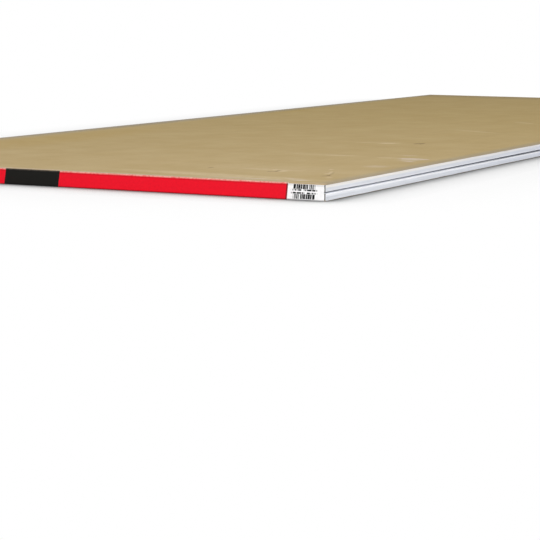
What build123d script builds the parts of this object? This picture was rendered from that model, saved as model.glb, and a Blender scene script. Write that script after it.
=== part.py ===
import os
from math import pi

from build123d import *

# Two drywall sheets laid face to face and bound at each short end by a folded paper tape.
# The origin is at the bottom centre. Length runs along Y, width along X, and the near end is at -Y.

# Gypsum board
sheet_width = 1219.2
sheet_length = 3657.6
sheet_thickness = 15.875
back_arris_radius = 2.0

# Tapered long edges, on the face side of each board
taper_width = 60.0
taper_depth = 1.3
taper_arris_radius = 2.0
taper_knee_radius = 400.0

# End tape, a flat strip folded round both boards, and stopped short of their long edges
tape_width = 64.0
tape_thickness = 0.25
tape_setback = 3.5

# Heights and places worked out from the sizes above
lower_back = tape_thickness
face_joint = lower_back + sheet_thickness
upper_back = face_joint + sheet_thickness
taper_edge = face_joint + taper_depth
half_width = sheet_width / 2
half_length = sheet_length / 2
taper_start = half_width - taper_width
tape_length = sheet_width - 2 * tape_setback

# The strip is spent on its flat down the board ends, a bend at each arris, and a lap on each back
end_flat = 2 * (sheet_thickness - back_arris_radius)
bend_length = pi / 2 * (back_arris_radius + tape_thickness / 2)
lap_flat = (tape_width - end_flat - 2 * bend_length) / 2
lap_edge = back_arris_radius + lap_flat - half_length

os.makedirs("parts", exist_ok=True)

# Upper sheet: back paper up, flat face down, and a shallow taper to each long edge
with BuildPart() as upper_sheet:
    with BuildSketch(Plane.XZ):
        with BuildLine():
            FilletPolyline(
                (-half_width, upper_back),
                (half_width, upper_back),
                (half_width, taper_edge),
                (taper_start, face_joint),
                (-taper_start, face_joint),
                (-half_width, taper_edge),
                radius=[0, 0, taper_arris_radius, taper_knee_radius, taper_knee_radius, taper_arris_radius],
                close=True,
            )
        make_face()
    extrude(amount=half_length, both=True)
    back_face = upper_sheet.faces().sort_by(Axis.Z)[-1]
    fillet(back_face.edges(), back_arris_radius)
upper_sheet.part.label = "upper_sheet"
export_step(upper_sheet.part, "parts/upper_sheet.step")

# Lower sheet: the same board turned over, so that the two faces meet and the tapers open a slot
with BuildPart() as lower_sheet:
    mirror(upper_sheet.part, about=Plane.XY.offset(face_joint))
lower_sheet.part.label = "lower_sheet"
export_step(lower_sheet.part, "parts/lower_sheet.step")

# Near end tape: from the upper back paper, round both board ends, to the lower back paper
with BuildPart() as near_end_tape:
    with BuildSketch(Plane.YZ):
        with BuildLine():
            FilletPolyline(
                (lap_edge, upper_back),
                (-half_length, upper_back),
                (-half_length, lower_back),
                (lap_edge, lower_back),
                radius=back_arris_radius,
            )
            offset(amount=tape_thickness, side=Side.RIGHT)
        make_face()
    extrude(amount=tape_length / 2, both=True)
near_end_tape.part.label = "near_end_tape"
export_step(near_end_tape.part, "parts/near_end_tape.step")

# Far end tape: the same strip at the other short end
with BuildPart() as far_end_tape:
    mirror(near_end_tape.part, about=Plane.XZ)
far_end_tape.part.label = "far_end_tape"
export_step(far_end_tape.part, "parts/far_end_tape.step")
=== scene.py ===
from math import cos, pi, radians, sin, sqrt

import bpy
from mathutils import Matrix, Vector, noise


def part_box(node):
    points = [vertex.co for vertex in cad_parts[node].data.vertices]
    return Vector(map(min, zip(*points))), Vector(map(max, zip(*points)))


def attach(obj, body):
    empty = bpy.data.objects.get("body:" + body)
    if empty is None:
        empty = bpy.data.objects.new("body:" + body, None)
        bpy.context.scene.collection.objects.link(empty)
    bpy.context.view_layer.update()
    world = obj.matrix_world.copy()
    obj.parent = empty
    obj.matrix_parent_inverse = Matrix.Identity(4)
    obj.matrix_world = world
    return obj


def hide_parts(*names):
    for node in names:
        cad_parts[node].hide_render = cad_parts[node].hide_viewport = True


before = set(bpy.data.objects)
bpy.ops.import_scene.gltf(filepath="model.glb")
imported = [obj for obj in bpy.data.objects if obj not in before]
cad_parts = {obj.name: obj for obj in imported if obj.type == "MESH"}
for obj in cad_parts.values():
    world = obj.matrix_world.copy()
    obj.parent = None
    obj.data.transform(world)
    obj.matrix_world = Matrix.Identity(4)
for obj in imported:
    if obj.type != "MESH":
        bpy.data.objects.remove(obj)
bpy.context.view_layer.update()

# A bundle of two drywall sheets, face to face, with a printed paper tape folded round each short end.
# Units are metres. Length runs along Y, width along X, and the near end is at -Y.

MM = 0.001

# Sizes read from the frame
sheet_low, sheet_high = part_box("upper_sheet")
HALF_WIDTH = sheet_high[0]
HALF_LENGTH = sheet_high[1]
FACE_JOINT = sheet_low[2]
SHEET_THICKNESS = sheet_high[2] - sheet_low[2]
tape_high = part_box("near_end_tape")[1]
TAPE_THICKNESS = tape_high[2] - sheet_high[2]
TAPE_HALF_LENGTH = tape_high[0]
TAPE_LAP_EDGE = tape_high[1]

# Sizes of the board's section. Each board's back paper ends at an angle above the long edge, in degrees
BACK_ARRIS_RADIUS = 2.0 * MM
BACK_PAPER_THICKNESS = 0.3 * MM
UPPER_PAPER_END_ANGLE = 8
LOWER_PAPER_END_ANGLE = 55
TAPER_WIDTH = 60.0 * MM
TAPER_DEPTH = 1.3 * MM
TAPER_ARRIS_RADIUS = 2.0 * MM

# The flat of the long edge, as heights above the face
EDGE_BOTTOM = TAPER_DEPTH + TAPER_ARRIS_RADIUS
EDGE_TOP = SHEET_THICKNESS - BACK_ARRIS_RADIUS

# Lengths across the flattened tape
BEND_LENGTH = pi / 2 * (BACK_ARRIS_RADIUS + TAPE_THICKNESS / 2)
LAP_FLAT = TAPE_LAP_EDGE + HALF_LENGTH - BACK_ARRIS_RADIUS
END_FLAT = 2 * (SHEET_THICKNESS - BACK_ARRIS_RADIUS)
TAPE_WIDTH = 2 * LAP_FLAT + 2 * BEND_LENGTH + END_FLAT

# Unevenness of real boards: waves over the whole sheet, and a sag that grows over a run from each end.
# All wander comes from one smooth noise, and a ROW is the line through it that a wander follows
BOARD_WAVE = 0.25 * MM
BOARD_WAVE_LENGTH = 0.7
BOARD_WAVE_SEED = 3.1
MIDDLE_SAG = 0.2 * MM
SAG_RUN = 0.4

# Wander of the long edges, from this share of the half width outward, and mostly inward
EDGE_WANDER = 0.25 * MM
EDGE_WANDER_LENGTH = 0.25
EDGE_WANDER_START = 0.9
EDGE_WANDER_INWARD = 0.6
EDGE_WANDER_ROW = 5.0

# Wander of the back paper's cut edge
PAPER_EDGE_WANDER = 0.35 * MM
PAPER_EDGE_WANDER_LENGTH = 0.06
PAPER_EDGE_WANDER_ROW = 9.0

# Drop of the slot between the boards, which starts and is full at these distances from their ends
SLOT_DROP = 0.7 * MM
SLOT_DROP_START = 0.08
SLOT_DROP_FULL = 0.2

# Unevenness of the tapes: ripples, a puff along the upper lap's edge, and ragged cut ends
TAPE_LIFT = 0.12 * MM
RIPPLE_LENGTH = 0.035
RIPPLE_WIDTH = 0.02
LAP_EDGE_LIFT = 0.5 * MM
PUFF_LENGTH = 0.09
PUFF_ROW = 7.0
PUFF_LIMIT = 0.1
TAPE_CUT_WANDER = 0.7 * MM
TAPE_CUT_WANDER_LENGTH = 0.006

# How finely the boards are divided
ROW_SPACING = 15 * MM
BACK_COLUMNS = 14
ARC_STEPS = 6
PAPER_END_STEPS = 6
EDGE_STEPS = 4
TAPER_STEPS = 6
FACE_COLUMNS = 10

# How finely the tapes are divided
TAPE_COLUMNS = 300
LAP_STEPS = 8
BEND_STEPS = 8
END_STEPS = 14

# Edges sharper than this are shaded sharp
SHARP_ANGLE = radians(35)

# Sockets of the Mix node when it mixes colours
MIX_SHARE, MIX_FROM, MIX_TO, MIXED = 0, 6, 7, 2


# Materials

def linear(hex_colour):
    """An sRGB hex colour as linear red, green, blue and alpha."""
    channels = [int(hex_colour[i:i + 2], 16) / 255 for i in (1, 3, 5)]
    return [c / 12.92 if c <= 0.04045 else ((c + 0.055) / 1.055) ** 2.4 for c in channels] + [1.0]


def add_node(tree, kind, inputs=None, **settings):
    """Add a node. A setting is an attribute, and an input is a value or another node's output."""
    node = tree.nodes.new(kind)
    for name, value in settings.items():
        setattr(node, name, value)
    for name, value in (inputs or {}).items():
        if isinstance(value, bpy.types.NodeSocket):
            tree.links.new(value, node.inputs[name])
        else:
            node.inputs[name].default_value = value
    return node


def new_material(name):
    """An empty material with its output node, and its node tree."""
    material = bpy.data.materials.new(name)
    material.use_nodes = True
    tree = material.node_tree
    tree.nodes.clear()
    output = add_node(tree, "ShaderNodeOutputMaterial")
    return material, tree, output


def add_object(name, data):
    """Add an object with this mesh, light or camera to the scene."""
    added = bpy.data.objects.new(name, data)
    bpy.context.scene.collection.objects.link(added)
    return added


def set_ramp(node, stops):
    """Give a colour ramp its stops, a list of position and colour."""
    ramp = node.color_ramp
    while len(ramp.elements) < len(stops):
        ramp.elements.new(1.0)
    for element, (position, colour) in zip(ramp.elements, stops):
        element.position = position
        element.color = colour


def colours_along(tree, place, stops):
    """Colours by place, blended between stops. stops is a list of place and colour."""
    start = stops[0][0]
    end = stops[-1][0]
    share = add_node(tree, "ShaderNodeMapRange", {"Value": place, "From Min": start, "From Max": end})
    ramp = add_node(tree, "ShaderNodeValToRGB", {"Fac": share.outputs["Result"]})
    set_ramp(ramp, [((stop - start) / (end - start), colour) for stop, colour in stops])
    return ramp.outputs["Color"]


# Colours of what marks the back paper
RAISED_FIBRE = "#DCCBAA"
CHALKY_RUB = "#DED2C8"
DEEP_TAN = "#B09248"
DARK_TAN = "#8E7341"
TORN_DARK = "#3E2F1A"
EDGE_GREY = "#969189"
PALE_GREY = "#A19D96"
# Painted shade for the far end of the back paper
FAR_END_SHADE = "#7E7668"

# Marks are full out to these shares of their size, and gone at the last one
RUB_CORE = 0.2
NICK_CORE = 0.5
MARK_END = 1.1

# How far the outlines of the marks wander along x, y and z
RUB_RAGGEDNESS = (12 * MM, 9 * MM, 0.0)
NICK_RAGGEDNESS = (4 * MM, 4 * MM, 0.0)

# Soft rubs, stains, darker patches along the left edge, and painted shade at the far end, on the upper back
# paper: middle x and y, half length and half width in mm, turn in degrees, colour, strength
RUBS = [
    # Darker tan, brown and grey along the left edge
    (-470, -1150, 800, 130, 90, DEEP_TAN, 0.32),
    (-560, 480, 330, 60, 90, DEEP_TAN, 0.32),
    (-572, -480, 300, 22, 90, DARK_TAN, 0.30),
    (-600, 0, 2400, 62, 90, PALE_GREY, 0.60),
    # Painted shade, darker towards the far end
    (0, 1829, 2600, 220, 0, FAR_END_SHADE, 0.45),
    (330, -1752, 300, 40, -3, RAISED_FIBRE, 0.42),
    (430, -1790, 150, 18, 0, CHALKY_RUB, 0.35),
    (390, -1560, 270, 100, 0, RAISED_FIBRE, 0.14),
    (385, -1590, 100, 22, 0, RAISED_FIBRE, 0.30),
    (506, -1752, 30, 10, 0, CHALKY_RUB, 0.30),
    (531, -1777, 28, 13, 0, CHALKY_RUB, 0.70),
    (534, -1412, 34, 36, 0, CHALKY_RUB, 0.28),
    (258, -1180, 42, 12, 12, RAISED_FIBRE, 0.35),
    (338, -1176, 66, 15, 8, RAISED_FIBRE, 0.55),
    (464, -1186, 30, 12, 10, RAISED_FIBRE, 0.65),
    (528, -1212, 34, 46, 0, CHALKY_RUB, 0.40),
    (520, -1182, 42, 17, 4, CHALKY_RUB, 0.90),
    (543, -1258, 19, 14, 0, CHALKY_RUB, 0.60),
    (552, -1188, 13, 11, 0, CHALKY_RUB, 0.80),
    (482, -1102, 24, 14, 24, CHALKY_RUB, 0.40),
    (236, -764, 36, 13, 15, RAISED_FIBRE, 0.45),
    (290, -757, 36, 16, 30, RAISED_FIBRE, 1.00),
    (317, -217, 125, 18, -30, RAISED_FIBRE, 0.35),
    (305, 228, 60, 22, -38, RAISED_FIBRE, 0.35),
]

# Crisp nicks in the upper back paper, with the fibre that they raised, in the same terms
NICKS = [
    (527, -1620, 58, 3.5, 108, TORN_DARK, 0.16),
    (537, -1659, 2.8, 12, 0, TORN_DARK, 1.00),
    (533, -1671, 6, 14, 0, TORN_DARK, 0.28),
    (517, -1616, 7, 18, 0, RAISED_FIBRE, 0.42),
    (556, -1698, 8, 12, 0, RAISED_FIBRE, 0.45),
    (512, -1592, 36, 4, 108, RAISED_FIBRE, 0.40),
    (484, -1526, 4, 12, 0, RAISED_FIBRE, 0.65),
    (399, -1631, 5, 14, 0, TORN_DARK, 0.38),
    (406.5, -1616, 4, 22, 0, TORN_DARK, 0.72),
    (388, -1588, 6, 12, 0, RAISED_FIBRE, 0.50),
    (418, -1613, 10, 20, 0, RAISED_FIBRE, 0.52),
    (254.5, -1609, 3.4, 16, 0, TORN_DARK, 0.62),
    (356, -738, 9, 20, 0, TORN_DARK, 0.45),
    (366, -731, 4, 22, 0, TORN_DARK, 1.00),
]

# Greying along both long edges of both back papers: handling grime, and painted shade
EDGE_DARKENING_SHARE = 0.55
EDGE_DARKENING_WIDTH = 36.0 * MM

# Dust on the near part of the sheet, from its end to here
DUST_COLOUR = "#E0CFC8"
DUST_SHARE = 0.08
DUST_REACH = 0.4


def lay_marks(tree, colour, place, marks, core, patches):
    """Mix each mark over colour. It is full out to the share core of its size, and ends at MARK_END."""
    for x, y, half_length, half_width, turn, stain, strength in marks:
        from_mark = add_node(tree, "ShaderNodeMapping",
                             {"Vector": place, "Location": (x * MM, y * MM, 0.0),
                              "Rotation": (0.0, 0.0, radians(turn)),
                              "Scale": (half_length * MM, half_width * MM, 1.0)}, vector_type="TEXTURE")
        distance = add_node(tree, "ShaderNodeVectorMath", {0: from_mark.outputs["Vector"]},
                            operation="LENGTH")
        cover = add_node(tree, "ShaderNodeMapRange",
                         {"Value": distance.outputs["Value"], "From Min": MARK_END, "From Max": core,
                          "To Min": 0.0, "To Max": strength}, interpolation_type="SMOOTHSTEP")
        patchy = add_node(tree, "ShaderNodeMath",
                          {0: cover.outputs["Result"], 1: patches.outputs["Result"]}, operation="MULTIPLY")
        marked = add_node(tree, "ShaderNodeMix",
                          {MIX_SHARE: patchy.outputs["Value"], MIX_FROM: colour, MIX_TO: linear(stain)},
                          data_type="RGBA")
        colour = marked.outputs[MIXED]
    return colour


def kraft_back_paper(name, rubs, nicks):
    """Recycled kraft board liner, calendered and uncoated: matt tan, cloudy, with fibre flecks."""
    material, tree, output = new_material(name)
    place = add_node(tree, "ShaderNodeTexCoord").outputs["Object"]

    # Cloudy formation of the pulp, about 90 mm across
    clouds = add_node(tree, "ShaderNodeTexNoise",
                      {"Vector": place, "Scale": 1 / (90 * MM), "Detail": 4.0, "Roughness": 0.55})
    tone = add_node(tree, "ShaderNodeValToRGB", {"Fac": clouds.outputs["Fac"]})
    set_ramp(tone, [(0.28, linear("#B59E6C")), (0.5, linear("#B8A170")), (0.72, linear("#BBA574"))])

    # Faint streaks along the machine direction, 14 mm wide
    stretched = add_node(tree, "ShaderNodeMapping",
                         {"Vector": place, "Scale": (1 / (14 * MM), 1 / (900 * MM), 1.0)})
    streaks = add_node(tree, "ShaderNodeTexNoise",
                       {"Vector": stretched.outputs["Vector"], "Scale": 1.0, "Detail": 3.0})
    streak_tone = add_node(tree, "ShaderNodeMapRange",
                           {"Value": streaks.outputs["Fac"], "From Min": 0.3, "From Max": 0.7,
                            "To Min": 0.98, "To Max": 1.02})
    streaked = add_node(tree, "ShaderNodeVectorMath",
                        {0: tone.outputs["Color"], 1: streak_tone.outputs["Result"]}, operation="MULTIPLY")

    # Fibre flecks, drawn 3 mm long so that they show
    flecks = add_node(tree, "ShaderNodeTexNoise",
                      {"Vector": place, "Scale": 1 / (3 * MM), "Detail": 2.0, "Roughness": 0.7})
    fleck_tone = add_node(tree, "ShaderNodeMapRange",
                          {"Value": flecks.outputs["Fac"], "From Min": 0.25, "From Max": 0.75,
                           "To Min": 0.95, "To Max": 1.04})
    flecked = add_node(tree, "ShaderNodeVectorMath",
                       {0: streaked.outputs["Vector"], 1: fleck_tone.outputs["Result"]},
                       operation="MULTIPLY")

    # Dust, thinning out from the near end
    apart = add_node(tree, "ShaderNodeSeparateXYZ", {"Vector": place})
    dust_fade = add_node(tree, "ShaderNodeMapRange",
                         {"Value": apart.outputs["Y"], "From Min": -HALF_LENGTH, "From Max": DUST_REACH,
                          "To Min": DUST_SHARE, "To Max": 0.0})
    dust_patches = add_node(tree, "ShaderNodeMapRange",
                            {"Value": clouds.outputs["Fac"], "From Min": 0.3, "From Max": 0.7,
                             "To Min": 0.8, "To Max": 1.2})
    dust_and_shade = add_node(tree, "ShaderNodeMath",
                    {0: dust_fade.outputs["Result"], 1: dust_patches.outputs["Result"]},
                    operation="MULTIPLY")
    dusted = add_node(tree, "ShaderNodeMix",
                      {MIX_SHARE: dust_and_shade.outputs["Value"], MIX_FROM: flecked.outputs["Vector"],
                       MIX_TO: linear(DUST_COLOUR)}, data_type="RGBA")

    # Marks with ragged outlines, patchy where the paper was only brushed
    ragged = add_node(tree, "ShaderNodeTexNoise",
                      {"Vector": place, "Scale": 1 / (16 * MM), "Detail": 3.0, "Roughness": 0.6})
    shift = add_node(tree, "ShaderNodeVectorMath",
                     {0: ragged.outputs["Color"], 1: (0.5, 0.5, 0.5)}, operation="SUBTRACT")
    patches = add_node(tree, "ShaderNodeMapRange",
                       {"Value": ragged.outputs["Fac"], "From Min": 0.38, "From Max": 0.6,
                        "To Min": 0.5, "To Max": 1.0})
    rub_place = add_node(tree, "ShaderNodeVectorMath",
                         {0: shift.outputs["Vector"], 1: RUB_RAGGEDNESS, 2: place},
                         operation="MULTIPLY_ADD")
    nick_place = add_node(tree, "ShaderNodeVectorMath",
                          {0: shift.outputs["Vector"], 1: NICK_RAGGEDNESS, 2: place},
                          operation="MULTIPLY_ADD")
    rubbed = lay_marks(tree, dusted.outputs[MIXED], rub_place.outputs["Vector"], rubs, RUB_CORE, patches)
    colour = lay_marks(tree, rubbed, nick_place.outputs["Vector"], nicks, NICK_CORE, patches)

    # Greyer towards the long edges: handling grime, and painted shade
    off_centre = add_node(tree, "ShaderNodeMath", {0: apart.outputs["X"]}, operation="ABSOLUTE")
    darkening = add_node(tree, "ShaderNodeMapRange",
                     {"Value": off_centre.outputs["Value"], "From Min": HALF_WIDTH - EDGE_DARKENING_WIDTH,
                      "From Max": HALF_WIDTH, "To Min": 0.0, "To Max": EDGE_DARKENING_SHARE})
    darkened = add_node(tree, "ShaderNodeMix",
                      {MIX_SHARE: darkening.outputs["Result"], MIX_FROM: colour,
                       MIX_TO: linear(EDGE_GREY)}, data_type="RGBA")

    bump = add_node(tree, "ShaderNodeBump",
                    {"Height": flecks.outputs["Fac"], "Strength": 0.25, "Distance": 0.15 * MM})
    shader = add_node(tree, "ShaderNodeBsdfPrincipled",
                      {"Base Color": darkened.outputs[MIXED], "Roughness": 0.85, "IOR": 1.5,
                       "Specular IOR Level": 0.02, "Normal": bump.outputs["Normal"]})
    tree.links.new(shader.outputs["BSDF"], output.inputs["Surface"])
    return material


# Tones of the face paper on the long edges, by height above the joint. The upper part of each board's edge
# is painted paler, as a painted highlight where light from above falls on it.
HIGHLIT_PAPER = "#F0F2F8"
EDGE_PAPER = "#E0E3E9"
WARM_HIGHLIGHT_PAPER = "#F5F1EC"
EDGE_TONES = [
    (-SHEET_THICKNESS, EDGE_PAPER),
    (-8.0 * MM, EDGE_PAPER),
    (-5.9 * MM, HIGHLIT_PAPER),
    (1.3 * MM, HIGHLIT_PAPER),
    (5.2 * MM, EDGE_PAPER),
    (7.6 * MM, EDGE_PAPER),
    (10.8 * MM, WARM_HIGHLIGHT_PAPER),
    (SHEET_THICKNESS, WARM_HIGHLIGHT_PAPER),
]

# Away from the taped ends the edge paper is darkened by painted shade, and painted shade lies on the lower
# board's arris in the slot.
# The top is a height above the joint, and the other heights here and below are those before the slot's drop
SHADE_START_REACH = 0.3
SHADE_FULL_REACH = 1.1
FALLOFF_SHADE_PAPER = "#BFC5D8"
FALLOFF_SHADE_SHARE = 0.25
SLOT_SHADE = "#3F434D"
SLOT_SHADE_SHARE = 0.5
SLOT_SHADE_TOP = -1.25 * MM
SLOT_SHADE_FULL = -2.3 * MM
SLOT_SHADE_EDGE = -3.6 * MM

# A painted highlight on the lower board's lip under the slot
RIM_HIGHLIGHT = "#FEFEFF"
RIM_HIGHLIGHT_SHARE = 0.85
RIM_HIGHLIGHT_MIDDLE = -3.55 * MM
RIM_HIGHLIGHT_FULL = 0.5 * MM
RIM_HIGHLIGHT_EDGE = 1.4 * MM


def ivory_face_paper():
    """White-lined face paper, a little cool, wrapped round the long edges, with painted highlights and
    painted shade in bands.
    """
    material, tree, output = new_material("ivory_face_paper")
    place = add_node(tree, "ShaderNodeTexCoord").outputs["Object"]
    apart = add_node(tree, "ShaderNodeSeparateXYZ", {"Vector": place})
    from_joint = add_node(tree, "ShaderNodeMath", {0: apart.outputs["Z"], 1: FACE_JOINT},
                          operation="SUBTRACT")
    # Painted highlight: paler bands on the upper part of each board's edge
    bands = colours_along(tree, from_joint.outputs["Value"],
                          [(height, linear(tone)) for height, tone in EDGE_TONES])

    # Handling, in streaks along the edge
    stretched = add_node(tree, "ShaderNodeMapping",
                         {"Vector": place, "Scale": (1 / (6 * MM), 1 / (120 * MM), 1 / (2 * MM))})
    rub = add_node(tree, "ShaderNodeTexNoise",
                   {"Vector": stretched.outputs["Vector"], "Scale": 1.0, "Detail": 4.0, "Roughness": 0.6})
    rub_tone = add_node(tree, "ShaderNodeMapRange",
                        {"Value": rub.outputs["Fac"], "From Min": 0.3, "From Max": 0.8,
                         "To Min": 0.9, "To Max": 1.08})
    handled = add_node(tree, "ShaderNodeVectorMath",
                       {0: bands, 1: rub_tone.outputs["Result"]}, operation="MULTIPLY")

    # Painted shade away from the taped ends, a painted highlight on the lower board's lip, and painted
    # shade in the slot
    off_middle = add_node(tree, "ShaderNodeMath", {0: apart.outputs["Y"]}, operation="ABSOLUTE")
    inward = add_node(tree, "ShaderNodeMapRange",
                      {"Value": off_middle.outputs["Value"], "From Min": HALF_LENGTH - SHADE_START_REACH,
                       "From Max": HALF_LENGTH - SHADE_FULL_REACH})
    falloff_shade = add_node(tree, "ShaderNodeMath", {0: inward.outputs["Result"], 1: FALLOFF_SHADE_SHARE},
                       operation="MULTIPLY")
    falloff_shaded = add_node(tree, "ShaderNodeMix",
                      {MIX_SHARE: falloff_shade.outputs["Value"], MIX_FROM: handled.outputs["Vector"],
                       MIX_TO: linear(FALLOFF_SHADE_PAPER)}, data_type="RGBA")
    lip_drop = add_node(tree, "ShaderNodeMapRange",
                        {"Value": off_middle.outputs["Value"], "From Min": HALF_LENGTH - SLOT_DROP_START,
                         "From Max": HALF_LENGTH - SLOT_DROP_FULL, "To Min": 0.0, "To Max": SLOT_DROP})
    from_lip = add_node(tree, "ShaderNodeMath",
                        {0: from_joint.outputs["Value"], 1: lip_drop.outputs["Result"]}, operation="ADD")
    from_rim = add_node(tree, "ShaderNodeMath", {0: from_lip.outputs["Value"], 1: RIM_HIGHLIGHT_MIDDLE},
                        operation="SUBTRACT")
    off_rim = add_node(tree, "ShaderNodeMath", {0: from_rim.outputs["Value"]}, operation="ABSOLUTE")
    # Painted highlight on the lower board's lip
    on_rim = add_node(tree, "ShaderNodeMapRange",
                      {"Value": off_rim.outputs["Value"], "From Min": RIM_HIGHLIGHT_EDGE,
                       "From Max": RIM_HIGHLIGHT_FULL, "To Min": 0.0, "To Max": RIM_HIGHLIGHT_SHARE})
    rim_highlighted = add_node(tree, "ShaderNodeMix",
                      {MIX_SHARE: on_rim.outputs["Result"], MIX_FROM: falloff_shaded.outputs[MIXED],
                       MIX_TO: linear(RIM_HIGHLIGHT)}, data_type="RGBA")
    # Painted shade in the slot, on the lower board's arris
    in_slot = add_node(tree, "ShaderNodeMapRange",
                       {"Value": from_lip.outputs["Value"], "From Min": SLOT_SHADE_EDGE,
                        "From Max": SLOT_SHADE_FULL, "To Min": 0.0, "To Max": SLOT_SHADE_SHARE})
    on_lower = add_node(tree, "ShaderNodeMath", {0: from_joint.outputs["Value"], 1: SLOT_SHADE_TOP},
                        operation="LESS_THAN")
    slot_share = add_node(tree, "ShaderNodeMath",
                          {0: in_slot.outputs["Result"], 1: on_lower.outputs["Value"]},
                          operation="MULTIPLY")
    dust_and_shade = add_node(tree, "ShaderNodeMath", {0: slot_share.outputs["Value"], 1: inward.outputs["Result"]},
                    operation="MULTIPLY")
    slot_shaded = add_node(tree, "ShaderNodeMix",
                     {MIX_SHARE: dust_and_shade.outputs["Value"], MIX_FROM: rim_highlighted.outputs[MIXED],
                      MIX_TO: linear(SLOT_SHADE)}, data_type="RGBA")

    grain = add_node(tree, "ShaderNodeTexNoise",
                     {"Vector": place, "Scale": 1 / (1.5 * MM), "Detail": 2.0})
    bump = add_node(tree, "ShaderNodeBump",
                    {"Height": grain.outputs["Fac"], "Strength": 0.15, "Distance": 0.1 * MM})
    shader = add_node(tree, "ShaderNodeBsdfPrincipled",
                      {"Base Color": slot_shaded.outputs[MIXED], "Roughness": 0.6, "IOR": 1.5,
                       "Specular IOR Level": 0.15, "Normal": bump.outputs["Normal"]})
    tree.links.new(shader.outputs["BSDF"], output.inputs["Surface"])
    return material


# The sawn end is pale in its outermost strip, where it is the cut edge of the paper and the hard core edge
PALE_EDGE = "#E2E4EA"
PALE_EDGE_START = 1.7 * MM
PALE_EDGE_FULL = 1.2 * MM


def sawn_gypsum():
    """Sawn gypsum core with fine pores, painted dark grey as shade. It shows only beside the tapes."""
    material, tree, output = new_material("sawn_gypsum")
    place = add_node(tree, "ShaderNodeTexCoord").outputs["Object"]
    pores = add_node(tree, "ShaderNodeTexNoise",
                     {"Vector": place, "Scale": 1 / (1.2 * MM), "Detail": 3.0, "Roughness": 0.7})
    # Painted shade: dark greys stand in for the shade that the core lies in beside the tapes
    tone = add_node(tree, "ShaderNodeValToRGB", {"Fac": pores.outputs["Fac"]})
    set_ramp(tone, [(0.35, linear("#504F49")), (0.6, linear("#787671"))])
    sideways = add_node(tree, "ShaderNodeSeparateXYZ", {"Vector": place}).outputs["X"]
    off_centre = add_node(tree, "ShaderNodeMath", {0: sideways}, operation="ABSOLUTE")
    pale_share = add_node(tree, "ShaderNodeMapRange",
                          {"Value": off_centre.outputs["Value"], "From Min": HALF_WIDTH - PALE_EDGE_START,
                           "From Max": HALF_WIDTH - PALE_EDGE_FULL})
    edged = add_node(tree, "ShaderNodeMix",
                     {MIX_SHARE: pale_share.outputs["Result"], MIX_FROM: tone.outputs["Color"],
                      MIX_TO: linear(PALE_EDGE)}, data_type="RGBA")
    bump = add_node(tree, "ShaderNodeBump",
                    {"Height": pores.outputs["Fac"], "Strength": 0.6, "Distance": 0.3 * MM})
    shader = add_node(tree, "ShaderNodeBsdfPrincipled",
                      {"Base Color": edged.outputs[MIXED], "Roughness": 0.95, "IOR": 1.52,
                       "Specular IOR Level": 0.1, "Normal": bump.outputs["Normal"]})
    tree.links.new(shader.outputs["BSDF"], output.inputs["Surface"])
    return material


# Print on the end tape: where each field starts along the strip, from the right end of the print
WHITE_FIELD_END = 74.9 * MM
BLACK_FIELD_START = 572.0 * MM
BLACK_FIELD_END = 698.2 * MM
PRINT_FIELDS = [
    (0.0, "#FDFCFC"),
    (WHITE_FIELD_END, "#8E1421"),
    (WHITE_FIELD_END + 3.3 * MM, "#EC0A26"),
    (BLACK_FIELD_START, "#161512"),
    (BLACK_FIELD_END, "#EC0A26"),
]

# The print leans on the strip, and a little more with each metre from its right end
PRINT_LEAN = 0.085
PRINT_LEAN_GAIN = 0.09

# The inks start on the upper bend, and the white just over its lower end
INK_TOP = -END_FLAT / 2 - 0.6 * BEND_LENGTH
WHITE_TOP = -END_FLAT / 2 - 0.08 * BEND_LENGTH

# Plain bars in two rows on the white field, paler towards one end, and turned about between the rows. A bar
# is inked where its chance is above a limit, which rises from one end to the other
BAR_FIELD_CENTRE = 41.2 * MM
BAR_FIELD_HALF = 22.2 * MM
BAR_WIDTH = 0.6 * MM
BAR_SEED = 26
BAR_LIMIT_DENSE = 0.05
BAR_LIMIT_PALE = 0.4
BAR_HALF_HEIGHT = 4.5 * MM
BAR_ROW_OFFSET = 9.1 * MM
BAR_INK = "#202223"

# Small ticks between the rows of bars
TICK_FIELD_HALF = 27.0 * MM
TICK_WIDTH = 1.3 * MM
TICK_HALF_HEIGHT = 1.5 * MM
TICK_ROW_OFFSET = 2.7 * MM
TICK_LIMIT = 0.3

# Ink rubbed off along the upper fold, together with a painted highlight there, where the black holds better
# than the red
FOLD_PALE_SHARE = 0.6
FOLD_PALE_FULL = -0.6 * MM
FOLD_PALE_END = 1.4 * MM
WORN_AND_HIGHLIT_PAPER = "#F2DCCB"
BLACK_PALE_SHARE = 0.15

# Tone across the end, from the start of the inks to the lower fold: painted shade under the upper fold, and
# painted shade along the lower one, where the fold faces down
FOLD_SHADES = [
    (INK_TOP, 1.0),
    (-END_FLAT / 2, 0.90),
    (-END_FLAT / 2 + 2.0 * MM, 0.78),
    (-END_FLAT / 2 + 4.5 * MM, 1.0),
    (END_FLAT / 2 - 0.5 * MM, 1.0),
    (END_FLAT / 2 + 1.0 * MM, 0.55),
]


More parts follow.
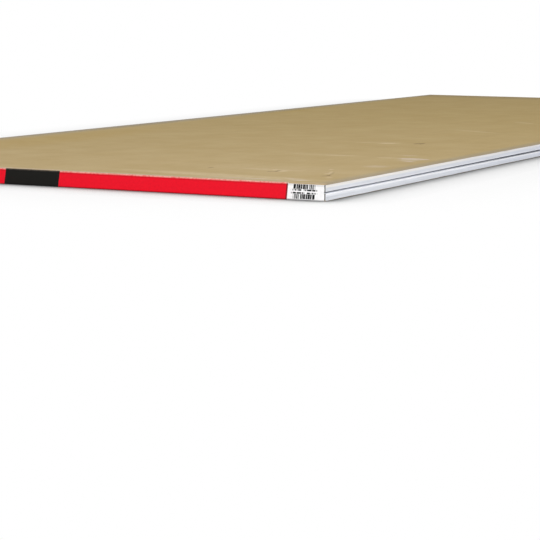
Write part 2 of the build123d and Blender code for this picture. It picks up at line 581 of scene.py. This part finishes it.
def rows_of_marks(tree, position, limit, along, field_half, off_middle, row_offset, half_height):
    """Marks in two rows on the white field, 1 where inked and 0 elsewhere.

    position counts the marks' places. Each place has a chance from 0 to 1, and is inked where that is
    above limit."""
    number = add_node(tree, "ShaderNodeMath", {0: position}, operation="FLOOR")
    chance = add_node(tree, "ShaderNodeTexWhiteNoise", {"W": number.outputs["Value"]},
                      noise_dimensions="1D")
    inked = add_node(tree, "ShaderNodeMath", {0: chance.outputs["Value"], 1: limit},
                     operation="GREATER_THAN")
    in_field = add_node(tree, "ShaderNodeMath", {0: along, 1: BAR_FIELD_CENTRE, 2: field_half},
                        operation="COMPARE")
    in_row = add_node(tree, "ShaderNodeMath", {0: off_middle, 1: row_offset, 2: half_height},
                      operation="COMPARE")
    place = add_node(tree, "ShaderNodeMath", {0: in_field.outputs["Value"], 1: in_row.outputs["Value"]},
                     operation="MULTIPLY")
    return add_node(tree, "ShaderNodeMath", {0: inked.outputs["Value"], 1: place.outputs["Value"]},
                    operation="MULTIPLY").outputs["Value"]


def printed_end_tape():
    """Printed bundling paper, lightly coated: red, black and white fields, and bare kraft margins."""
    material, tree, output = new_material("printed_end_tape")
    strip = add_node(tree, "ShaderNodeAttribute", attribute_name="strip").outputs["Vector"]
    split = add_node(tree, "ShaderNodeSeparateXYZ", {"Vector": strip})
    from_middle = add_node(tree, "ShaderNodeMath", {0: split.outputs["Y"], 1: TAPE_WIDTH / 2},
                           operation="SUBTRACT").outputs["Value"]
    off_middle = add_node(tree, "ShaderNodeMath", {0: from_middle}, operation="ABSOLUTE").outputs["Value"]
    lean = add_node(tree, "ShaderNodeMath", {0: split.outputs["X"], 1: PRINT_LEAN_GAIN, 2: PRINT_LEAN},
                    operation="MULTIPLY_ADD")
    leaned = add_node(tree, "ShaderNodeMath", {0: from_middle, 1: lean.outputs["Value"]},
                      operation="MULTIPLY")
    along = add_node(tree, "ShaderNodeMath", {0: split.outputs["X"], 1: leaned.outputs["Value"]},
                     operation="SUBTRACT").outputs["Value"]

    # Fields of one ink each
    fields = linear(PRINT_FIELDS[0][1])
    for field_start, ink in PRINT_FIELDS[1:]:
        past_start = add_node(tree, "ShaderNodeMath", {0: along, 1: field_start}, operation="GREATER_THAN")
        laid = add_node(tree, "ShaderNodeMix",
                        {MIX_SHARE: past_start.outputs["Value"], MIX_FROM: fields, MIX_TO: linear(ink)},
                        data_type="RGBA")
        fields = laid.outputs[MIXED]

    # Bars, less likely towards the pale end, mirrored in the lower row
    from_centre = add_node(tree, "ShaderNodeMath", {0: along, 1: BAR_FIELD_CENTRE}, operation="SUBTRACT")
    row_side = add_node(tree, "ShaderNodeMath", {0: from_middle}, operation="SIGN")
    turned = add_node(tree, "ShaderNodeMath",
                      {0: from_centre.outputs["Value"], 1: row_side.outputs["Value"]}, operation="MULTIPLY")
    bar_place = add_node(tree, "ShaderNodeMath",
                         {0: turned.outputs["Value"], 1: 1 / BAR_WIDTH, 2: BAR_SEED},
                         operation="MULTIPLY_ADD")
    bar_limit = add_node(tree, "ShaderNodeMapRange",
                         {"Value": turned.outputs["Value"], "From Min": -BAR_FIELD_HALF,
                          "From Max": BAR_FIELD_HALF, "To Min": BAR_LIMIT_DENSE,
                          "To Max": BAR_LIMIT_PALE})
    bars = rows_of_marks(tree, bar_place.outputs["Value"], bar_limit.outputs["Result"],
                         along, BAR_FIELD_HALF, off_middle, BAR_ROW_OFFSET, BAR_HALF_HEIGHT)

    # Ticks, in two thin rows
    tick_place = add_node(tree, "ShaderNodeMath", {0: turned.outputs["Value"], 1: TICK_WIDTH},
                          operation="DIVIDE")
    tick_number = add_node(tree, "ShaderNodeMath", {0: tick_place.outputs["Value"], 1: 0.5},
                           operation="ADD")
    ticks = rows_of_marks(tree, tick_number.outputs["Value"], TICK_LIMIT,
                          along, TICK_FIELD_HALF, off_middle, TICK_ROW_OFFSET, TICK_HALF_HEIGHT)
    marks = add_node(tree, "ShaderNodeMath", {0: bars, 1: ticks}, operation="MAXIMUM")
    barred = add_node(tree, "ShaderNodeMix",
                      {MIX_SHARE: marks.outputs["Value"], MIX_FROM: fields, MIX_TO: linear(BAR_INK)},
                      data_type="RGBA")

    # Ink rubbed off along the upper fold, where the pale paper shows through, together with a painted
    # highlight on the fold
    below_fold = add_node(tree, "ShaderNodeMath", {0: from_middle, 1: END_FLAT / 2}, operation="ADD")
    fold_pale_band = add_node(tree, "ShaderNodeMapRange",
                         {"Value": below_fold.outputs["Value"], "From Min": FOLD_PALE_FULL, "From Max": FOLD_PALE_END,
                          "To Min": FOLD_PALE_SHARE, "To Max": 0.0})
    fold_pale_noise = add_node(tree, "ShaderNodeTexNoise",
                          {"Vector": strip, "Scale": 1 / (5 * MM), "Detail": 4.0})
    fold_pale_patches = add_node(tree, "ShaderNodeMapRange",
                          {"Value": fold_pale_noise.outputs["Fac"], "From Min": 0.35, "From Max": 0.6,
                           "To Min": 0.4, "To Max": 1.0})
    fold_pale = add_node(tree, "ShaderNodeMath",
                    {0: fold_pale_band.outputs["Result"], 1: fold_pale_patches.outputs["Result"]}, operation="MULTIPLY")
    on_black = add_node(tree, "ShaderNodeMath",
                        {0: along, 1: (BLACK_FIELD_START + BLACK_FIELD_END) / 2,
                         2: (BLACK_FIELD_END - BLACK_FIELD_START) / 2}, operation="COMPARE")
    hold = add_node(tree, "ShaderNodeMath", {0: on_black.outputs["Value"], 1: BLACK_PALE_SHARE - 1, 2: 1.0},
                    operation="MULTIPLY_ADD")
    held = add_node(tree, "ShaderNodeMath", {0: fold_pale.outputs["Value"], 1: hold.outputs["Value"]},
                    operation="MULTIPLY")
    fold_paled = add_node(tree, "ShaderNodeMix",
                    {MIX_SHARE: held.outputs["Value"], MIX_FROM: barred.outputs[MIXED],
                     MIX_TO: linear(WORN_AND_HIGHLIT_PAPER)}, data_type="RGBA")

    # Bare kraft above the print
    mottle = add_node(tree, "ShaderNodeTexNoise", {"Vector": strip, "Scale": 1 / (8 * MM), "Detail": 4.0})
    kraft = add_node(tree, "ShaderNodeValToRGB", {"Fac": mottle.outputs["Fac"]})
    set_ramp(kraft, [(0.3, linear("#B49C72")), (0.7, linear("#C0A981"))])
    print_top = add_node(tree, "ShaderNodeMapRange",
                         {"Value": along, "From Min": WHITE_FIELD_END - 1 * MM, "From Max": WHITE_FIELD_END,
                          "To Min": WHITE_TOP, "To Max": INK_TOP})
    in_print = add_node(tree, "ShaderNodeMath", {0: from_middle, 1: print_top.outputs["Result"]},
                        operation="GREATER_THAN")
    printed = add_node(tree, "ShaderNodeMix",
                       {MIX_SHARE: in_print.outputs["Value"], MIX_FROM: kraft.outputs["Color"],
                        MIX_TO: fold_paled.outputs[MIXED]}, data_type="RGBA")

    # Painted shade under the upper fold and along the lower one
    darkening = colours_along(tree, from_middle,
                          [(place, (tone, tone, tone, 1.0)) for place, tone in FOLD_SHADES])
    darkened = add_node(tree, "ShaderNodeVectorMath", {0: printed.outputs[MIXED], 1: darkening},
                      operation="MULTIPLY")

    # Uneven ink, 5 mm across
    ink = add_node(tree, "ShaderNodeTexNoise", {"Vector": strip, "Scale": 1 / (5 * MM), "Detail": 3.0})
    ink_tone = add_node(tree, "ShaderNodeMapRange",
                        {"Value": ink.outputs["Fac"], "From Min": 0.3, "From Max": 0.7,
                         "To Min": 0.96, "To Max": 1.03})
    toned = add_node(tree, "ShaderNodeVectorMath",
                     {0: darkened.outputs["Vector"], 1: ink_tone.outputs["Result"]}, operation="MULTIPLY")
    bump = add_node(tree, "ShaderNodeBump",
                    {"Height": ink.outputs["Fac"], "Strength": 0.15, "Distance": 0.1 * MM})
    shader = add_node(tree, "ShaderNodeBsdfPrincipled",
                      {"Base Color": toned.outputs["Vector"], "Roughness": 0.5, "IOR": 1.5,
                       "Specular IOR Level": 0.12, "Normal": bump.outputs["Normal"]})
    tree.links.new(shader.outputs["BSDF"], output.inputs["Surface"])
    return material


# Boards

def arc_points(centre_x, centre_h, radius, start, end, steps):
    """Points of an arc in the board's section, with its first point. Angles are in degrees."""
    angles = [radians(start + (end - start) * step / steps) for step in range(steps + 1)]
    return [(centre_x + radius * cos(angle), centre_h + radius * sin(angle)) for angle in angles]


def right_half_section(paper_end_angle, paper_step):
    """The board's section from the middle of its back round the right edge to the middle of its face.

    Returns the back paper's points and then the face paper's, each as x and height above the face.
    The back paper laps over the arris to an angle in degrees above the edge, and the face paper comes
    out from under its cut edge, deeper there by paper_step."""
    arris_x = HALF_WIDTH - BACK_ARRIS_RADIUS
    back = [(arris_x * column / BACK_COLUMNS, SHEET_THICKNESS) for column in range(BACK_COLUMNS)]
    back += arc_points(arris_x, EDGE_TOP, BACK_ARRIS_RADIUS, 90, paper_end_angle, ARC_STEPS)
    face = []
    for step in range(1, PAPER_END_STEPS + 1):
        angle = radians(paper_end_angle * (1 - step / PAPER_END_STEPS))
        radius = BACK_ARRIS_RADIUS - paper_step * (PAPER_END_STEPS - step) / (PAPER_END_STEPS - 1)
        face.append((arris_x + radius * cos(angle), EDGE_TOP + radius * sin(angle)))
    edge_drop = EDGE_BOTTOM - EDGE_TOP
    face += [(HALF_WIDTH, EDGE_TOP + edge_drop * step / EDGE_STEPS) for step in range(1, EDGE_STEPS)]
    taper_x = HALF_WIDTH - TAPER_ARRIS_RADIUS
    face += arc_points(taper_x, EDGE_BOTTOM, TAPER_ARRIS_RADIUS, 0, -90, ARC_STEPS)
    taper_start = HALF_WIDTH - TAPER_WIDTH
    for step in range(1, TAPER_STEPS + 1):
        share = step / TAPER_STEPS
        face.append((taper_x + (taper_start - taper_x) * share, TAPER_DEPTH * (1 - share)))
    face += [(taper_start * (1 - column / FACE_COLUMNS), 0.0) for column in range(1, FACE_COLUMNS + 1)]
    return back, face


def section_loop(paper_end_angle, paper_step):
    """The board's section as a closed loop of x and height, and how many points its right back has."""
    back, face = right_half_section(paper_end_angle, paper_step)
    right = back + face
    left = [(-x, h) for x, h in right[1:-1]][::-1]
    return right + left, len(back)


def row_places():
    """Places of the board's cross rows along its length, closer together over the end arrises."""
    arris = [BACK_ARRIS_RADIUS * (1 - cos(pi / 2 * step / ARC_STEPS)) for step in range(ARC_STEPS + 1)]
    start = HALF_LENGTH - BACK_ARRIS_RADIUS
    count = round(2 * start / ROW_SPACING)
    near = [inset - HALF_LENGTH for inset in arris]
    middle = [-start + 2 * start * row / count for row in range(1, count)]
    far = [HALF_LENGTH - inset for inset in arris[::-1]]
    return near + middle + far


def board_wave(x, y):
    """Height that both boards share: faint waves and a slight sag, and nothing at the taped ends."""
    from_end = max(0.0, HALF_LENGTH - abs(y))
    free = min(1.0, from_end / SAG_RUN)
    free = free * free * (3 - 2 * free)
    wave = noise.noise(Vector((x, y, BOARD_WAVE_SEED)) / BOARD_WAVE_LENGTH)
    return free * (BOARD_WAVE * max(0.0, wave) - MIDDLE_SAG)


def slot_drop(x, h, y):
    """How much lower a point of a taper or long edge lies, so that the slot hangs below the joint."""
    across = (abs(x) - HALF_WIDTH + TAPER_WIDTH) / TAPER_WIDTH
    below = (EDGE_TOP - h) / (EDGE_TOP - EDGE_BOTTOM)
    along = (HALF_LENGTH - abs(y) - SLOT_DROP_START) / (SLOT_DROP_FULL - SLOT_DROP_START)
    shares = [min(1.0, max(0.0, share)) for share in (across, below, along)]
    return SLOT_DROP * shares[0] * shares[1] * shares[2]


def make_board(name, up, seed, finishes):
    """One board as a closed mesh. up is 1 for the upper sheet, back up, and -1 for the lower.

    finishes are the back paper's material, the face paper's and the sawn end's. The end rows have no step
    at the back paper's edge, and the back arris cuts the rows nearest to them down."""
    paper_end_angle = UPPER_PAPER_END_ANGLE if up > 0 else LOWER_PAPER_END_ANGLE
    loop, back_count = section_loop(paper_end_angle, BACK_PAPER_THICKNESS)
    end_loop = section_loop(paper_end_angle, 0.0)[0]
    count = len(loop)
    rows = row_places()

    vertices = []
    for y in rows:
        inset = min(BACK_ARRIS_RADIUS, HALF_LENGTH - abs(y))
        dip = BACK_ARRIS_RADIUS - sqrt(max(0.0, BACK_ARRIS_RADIUS**2 - (BACK_ARRIS_RADIUS - inset)**2))
        for column, (x, h) in enumerate(loop if inset > 0 else end_loop):
            side = 1 if x > 0 else -1
            edge_share = max(0.0, abs(x) / HALF_WIDTH - EDGE_WANDER_START) / (1 - EDGE_WANDER_START)
            wander = noise.noise(Vector((side * EDGE_WANDER_ROW, y / EDGE_WANDER_LENGTH, seed)))
            shift = edge_share * EDGE_WANDER * (wander - EDGE_WANDER_INWARD)

            # The back paper's cut edge wanders, and so does what follows it, less and less
            past_paper = min(column, count - column) - back_count
            if -1 <= past_paper < PAPER_END_STEPS:
                along = y / PAPER_EDGE_WANDER_LENGTH
                ragged = noise.noise(Vector((side * PAPER_EDGE_WANDER_ROW, along, seed)))
                fade = (1 - max(0, past_paper) / PAPER_END_STEPS) * inset / BACK_ARRIS_RADIUS
                h += PAPER_EDGE_WANDER * ragged * fade
            height = min(h, SHEET_THICKNESS - dip) - up * slot_drop(x, h, y)
            vertices.append((x + side * shift, y, FACE_JOINT + up * height + board_wave(x, y)))

    faces = []
    slots = []
    for row in range(len(rows) - 1):
        for column in range(count):
            beside = (column + 1) % count
            faces.append((row * count + column, row * count + beside,
                          (row + 1) * count + beside, (row + 1) * count + column))
            on_back = column < back_count or column > count - back_count - 1
            slots.append(0 if on_back else 1)

    # Each end is a fan round its middle
    for row in (0, len(rows) - 1):
        middle = len(vertices)
        vertices.append((0.0, rows[row], FACE_JOINT + up * SHEET_THICKNESS / 2))
        for column in range(count):
            beside = (column + 1) % count
            corners = (middle, row * count + column, row * count + beside)
            faces.append(corners if row else corners[::-1])
            slots.append(2)
    if up < 0:
        faces = [face[::-1] for face in faces]
    return make_piece(name, vertices, faces, finishes, slots)


def make_piece(name, vertices, faces, finishes, slots):
    """A mesh object, smooth but for its sharp edges. slots picks each face's finish."""
    mesh = bpy.data.meshes.new(name)
    mesh.from_pydata(vertices, [], faces)
    for finish in finishes:
        mesh.materials.append(finish)
    mesh.polygons.foreach_set("material_index", slots)
    mesh.polygons.foreach_set("use_smooth", [True] * len(faces))
    mesh.set_sharp_from_angle(angle=SHARP_ANGLE)
    mesh.update()
    return add_object(name, mesh)


# End tapes

def strip_path():
    """Points across the folded strip at the near end: place across, y, z, and the outward normal."""
    path = []
    upper_back = FACE_JOINT + SHEET_THICKNESS
    lower_back = FACE_JOINT - SHEET_THICKNESS
    bend_y = BACK_ARRIS_RADIUS - HALF_LENGTH
    upper_bend_z = upper_back - BACK_ARRIS_RADIUS
    lower_bend_z = lower_back + BACK_ARRIS_RADIUS
    for step in range(LAP_STEPS):
        share = step / LAP_STEPS
        path.append((LAP_FLAT * share, TAPE_LAP_EDGE - LAP_FLAT * share, upper_back, 0.0, 1.0))
    for step in range(BEND_STEPS):
        share = step / BEND_STEPS
        angle = pi / 2 + pi / 2 * share
        path.append((LAP_FLAT + BEND_LENGTH * share,
                     bend_y + BACK_ARRIS_RADIUS * cos(angle),
                     upper_bend_z + BACK_ARRIS_RADIUS * sin(angle), cos(angle), sin(angle)))
    for step in range(END_STEPS):
        share = step / END_STEPS
        path.append((LAP_FLAT + BEND_LENGTH + END_FLAT * share, -HALF_LENGTH,
                     upper_bend_z - END_FLAT * share, -1.0, 0.0))
    for step in range(BEND_STEPS):
        share = step / BEND_STEPS
        angle = pi + pi / 2 * share
        path.append((LAP_FLAT + BEND_LENGTH + END_FLAT + BEND_LENGTH * share,
                     bend_y + BACK_ARRIS_RADIUS * cos(angle),
                     lower_bend_z + BACK_ARRIS_RADIUS * sin(angle), cos(angle), sin(angle)))
    for step in range(LAP_STEPS + 1):
        share = step / LAP_STEPS
        path.append((TAPE_WIDTH - LAP_FLAT * (1 - share), bend_y + LAP_FLAT * share, lower_back, 0.0, -1.0))
    return path


def tape_lift(along, across, seed):
    """How far the paper stands off the boards: a little everywhere, and more along the upper lap's edge."""
    if across > LAP_FLAT + BEND_LENGTH + END_FLAT:
        return 0.0
    ripple = noise.noise(Vector((along / RIPPLE_LENGTH, across / RIPPLE_WIDTH, seed)))
    lift = TAPE_LIFT * max(0.0, ripple)
    if across < LAP_FLAT:
        edge = (1 - across / LAP_FLAT) ** 2
        puff = noise.noise(Vector((along / PUFF_LENGTH, PUFF_ROW, seed)))
        lift += LAP_EDGE_LIFT * edge * max(0.0, puff - PUFF_LIMIT)
    return lift


def make_tape(name, end, seed, finish):
    """One folded tape as a closed mesh. end is -1 at the near end and 1 at the far end."""
    path = strip_path()
    steps = len(path)
    outer = []
    inner = []
    places = []
    for column in range(TAPE_COLUMNS + 1):
        for across, y, z, normal_y, normal_z in path:
            along = 2 * TAPE_HALF_LENGTH * column / TAPE_COLUMNS
            if column in (0, TAPE_COLUMNS):
                ragged = noise.noise(Vector((across / TAPE_CUT_WANDER_LENGTH, along, seed)))
                cut = TAPE_CUT_WANDER * (0.5 + 0.5 * ragged)
                along += -cut if column else cut
            x = (along - TAPE_HALF_LENGTH) * end
            lift = tape_lift(along, across, seed)
            for layer, stand in ((inner, lift), (outer, lift + TAPE_THICKNESS)):
                layer.append((x, -end * (y + normal_y * stand), z + normal_z * stand))
            places.append((along, across, 0.0))
    vertices = outer + inner
    under = len(outer)

    # The skin outside and inside, the two long cut edges, and the two cut ends
    faces = []
    for column in range(TAPE_COLUMNS):
        for step in range(steps - 1):
            a = column * steps + step
            b = a + steps
            faces.append((b, b + 1, a + 1, a))
            faces.append((under + a, under + a + 1, under + b + 1, under + b))
    for column in range(TAPE_COLUMNS):
        a = column * steps
        b = a + steps
        faces.append((a, under + a, under + b, b))
        a += steps - 1
        b += steps - 1
        faces.append((b, under + b, under + a, a))
    last = TAPE_COLUMNS * steps
    for step in range(steps - 1):
        faces.append((step + 1, under + step + 1, under + step, step))
        faces.append((last + step, under + last + step, under + last + step + 1, last + step + 1))

    tape = make_piece(name, vertices, faces, [finish], [0] * len(faces))
    strip = tape.data.attributes.new("strip", "FLOAT_VECTOR", "POINT")
    strip.data.foreach_set("vector", [value for place in places + places for value in place])
    return tape


marked_back = kraft_back_paper("kraft_back_paper_handled", RUBS, NICKS)
plain_back = kraft_back_paper("kraft_back_paper", [], [])
face_paper = ivory_face_paper()
core = sawn_gypsum()
tape_paper = printed_end_tape()

upper_board = make_board("upper_board", up=1, seed=1.7, finishes=[marked_back, face_paper, core])
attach(upper_board, "root")
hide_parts("upper_sheet")

lower_board = make_board("lower_board", up=-1, seed=8.3, finishes=[plain_back, face_paper, core])
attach(lower_board, "root")
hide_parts("lower_sheet")

near_tape = make_tape("near_tape", end=-1, seed=2.9, finish=tape_paper)
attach(near_tape, "root")
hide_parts("near_end_tape")

far_tape = make_tape("far_tape", end=1, seed=6.1, finish=tape_paper)
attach(far_tape, "root")
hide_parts("far_end_tape")


# Floor, light and camera

WHITE = "#FFFFFF"
FLOOR_PALE = "#F2F2F2"
FLOOR_HALF = 60.0

# Light of the floor's own, which lifts its shadows
FLOOR_LIFT = 0.10

# Beyond the boards the shadowed floor turns to plain white between these distances
SHADOW_NEAR = 0.08
SHADOW_FAR = 0.45

# How far the shade gathers from where the boards touch the floor, and how dark it gets
CONTACT_REACH = 0.12
CONTACT_DEPTH = 2.2


def make_floor():
    """A wide pale floor. It is lit and shadowed beside the boards, and plain white farther off."""
    material, tree, output = new_material("white_floor")
    place = add_node(tree, "ShaderNodeTexCoord").outputs["Object"]
    spread = add_node(tree, "ShaderNodeVectorMath", {0: place}, operation="ABSOLUTE")
    past = add_node(tree, "ShaderNodeVectorMath",
                    {0: spread.outputs["Vector"], 1: (HALF_WIDTH, HALF_LENGTH, 0.0)}, operation="SUBTRACT")
    outside = add_node(tree, "ShaderNodeVectorMath", {0: past.outputs["Vector"], 1: (0.0, 0.0, 0.0)},
                       operation="MAXIMUM")
    distance = add_node(tree, "ShaderNodeVectorMath", {0: outside.outputs["Vector"]}, operation="LENGTH")
    far_off = add_node(tree, "ShaderNodeMapRange",
                       {"Value": distance.outputs["Value"], "From Min": SHADOW_NEAR,
                        "From Max": SHADOW_FAR}, interpolation_type="SMOOTHSTEP")
    open_sky = add_node(tree, "ShaderNodeAmbientOcclusion", {"Distance": CONTACT_REACH})
    shade = add_node(tree, "ShaderNodeMath", {0: open_sky.outputs["AO"], 1: CONTACT_DEPTH},
                     operation="POWER")
    shaded = add_node(tree, "ShaderNodeVectorMath", {0: linear(FLOOR_PALE)[:3], 1: shade.outputs["Value"]},
                      operation="MULTIPLY")
    lift_level = add_node(tree, "ShaderNodeMath", {0: shade.outputs["Value"], 1: FLOOR_LIFT},
                          operation="MULTIPLY")
    matt = add_node(tree, "ShaderNodeBsdfDiffuse", {"Color": linear(FLOOR_PALE)})
    shaded_matt = add_node(tree, "ShaderNodeBsdfDiffuse", {"Color": shaded.outputs["Vector"]})
    lift = add_node(tree, "ShaderNodeEmission",
                    {"Color": linear(WHITE), "Strength": lift_level.outputs["Value"]})
    lifted = add_node(tree, "ShaderNodeAddShader",
                      {0: shaded_matt.outputs["BSDF"], 1: lift.outputs["Emission"]})
    white = add_node(tree, "ShaderNodeEmission", {"Color": linear(WHITE), "Strength": 1.0})
    seen = add_node(tree, "ShaderNodeMixShader",
                    {0: far_off.outputs["Result"], 1: lifted.outputs["Shader"],
                     2: white.outputs["Emission"]})
    rays = add_node(tree, "ShaderNodeLightPath")
    shown = add_node(tree, "ShaderNodeMixShader",
                     {0: rays.outputs["Is Camera Ray"], 1: matt.outputs["BSDF"], 2: seen.outputs["Shader"]})
    tree.links.new(shown.outputs["Shader"], output.inputs["Surface"])
    corners = [(-FLOOR_HALF, -FLOOR_HALF, 0), (FLOOR_HALF, -FLOOR_HALF, 0),
               (FLOOR_HALF, FLOOR_HALF, 0), (-FLOOR_HALF, FLOOR_HALF, 0)]
    floor = make_piece("floor", corners, [(0, 1, 2, 3)], [material], [0])


AMBIENT_LEVEL = 0.5


def make_world():
    """Even white surroundings, full white where the camera sees them."""
    world = bpy.data.worlds.new("studio")
    world.use_nodes = True
    tree = world.node_tree
    tree.nodes.clear()
    rays = add_node(tree, "ShaderNodeLightPath")
    strength = add_node(tree, "ShaderNodeMapRange",
                        {"Value": rays.outputs["Is Camera Ray"], "To Min": AMBIENT_LEVEL, "To Max": 1.0})
    sky = add_node(tree, "ShaderNodeBackground",
                   {"Color": linear(WHITE), "Strength": strength.outputs["Result"]})
    output = add_node(tree, "ShaderNodeOutputWorld")
    tree.links.new(sky.outputs["Background"], output.inputs["Surface"])
    bpy.context.scene.world = world


def add_softbox(name, place, target, size, power):
    """A square area light at place, turned to target."""
    data = bpy.data.lights.new(name, "AREA")
    data.size = size
    data.energy = power
    lamp = add_object(name, data)
    lamp.location = place
    lamp.rotation_euler = (Vector(target) - Vector(place)).to_track_quat("-Z", "Y").to_euler()


def add_sun(name, azimuth, elevation, spread, strength):
    """Soft light from one direction. The azimuth is counted from +Y towards +X. Angles are in degrees."""
    data = bpy.data.lights.new(name, "SUN")
    data.angle = radians(spread)
    data.energy = strength
    lamp = add_object(name, data)
    lamp.rotation_euler = (radians(90 - elevation), 0.0, radians(180 - azimuth))


# Camera fitted to the photograph: place in metres, angles in degrees, focal length in pixels
PHOTO_SIDE = 540
FOCAL_PIXELS = 1881.7
SENSOR_WIDTH = 36.0
CAMERA_PLACE = (2.0212, -4.9591, 0.3445)
CAMERA_YAW = 25.974
CAMERA_PITCH = -7.824
CAMERA_ROLL = -0.399
CAMERA_REACH = 200


def make_camera():
    """The camera at the photograph's viewing angle."""
    data = bpy.data.cameras.new("camera")
    data.sensor_width = SENSOR_WIDTH
    data.lens = SENSOR_WIDTH * FOCAL_PIXELS / PHOTO_SIDE
    data.clip_end = CAMERA_REACH
    camera = add_object("camera", data)
    turn = (Matrix.Rotation(radians(CAMERA_YAW), 3, "Z") @ Matrix.Rotation(radians(CAMERA_PITCH), 3, "X")
            @ Matrix.Rotation(radians(CAMERA_ROLL), 3, "Y"))
    looking = turn @ Matrix.Rotation(radians(90), 3, "X")
    camera.matrix_world = Matrix.Translation(CAMERA_PLACE) @ looking.to_4x4()
    bpy.context.scene.camera = camera


make_floor()
make_world()
add_sun("soft_sun", azimuth=-45, elevation=35, spread=30, strength=0.6)
add_softbox("key_light", place=(0.5, -4.0, 4.5), target=(0.0, -1.8, 0.0), size=3.0, power=57)
add_softbox("front_fill", place=(1.0, -8.0, 1.0), target=(0.0, -1.8, 0.0), size=2.0, power=90)
add_softbox("side_fill", place=(6.0, -2.0, 3.5), target=(0.6, -0.5, 0.0), size=2.0, power=128)
make_camera()
bpy.context.scene.view_settings.view_transform = "Standard"
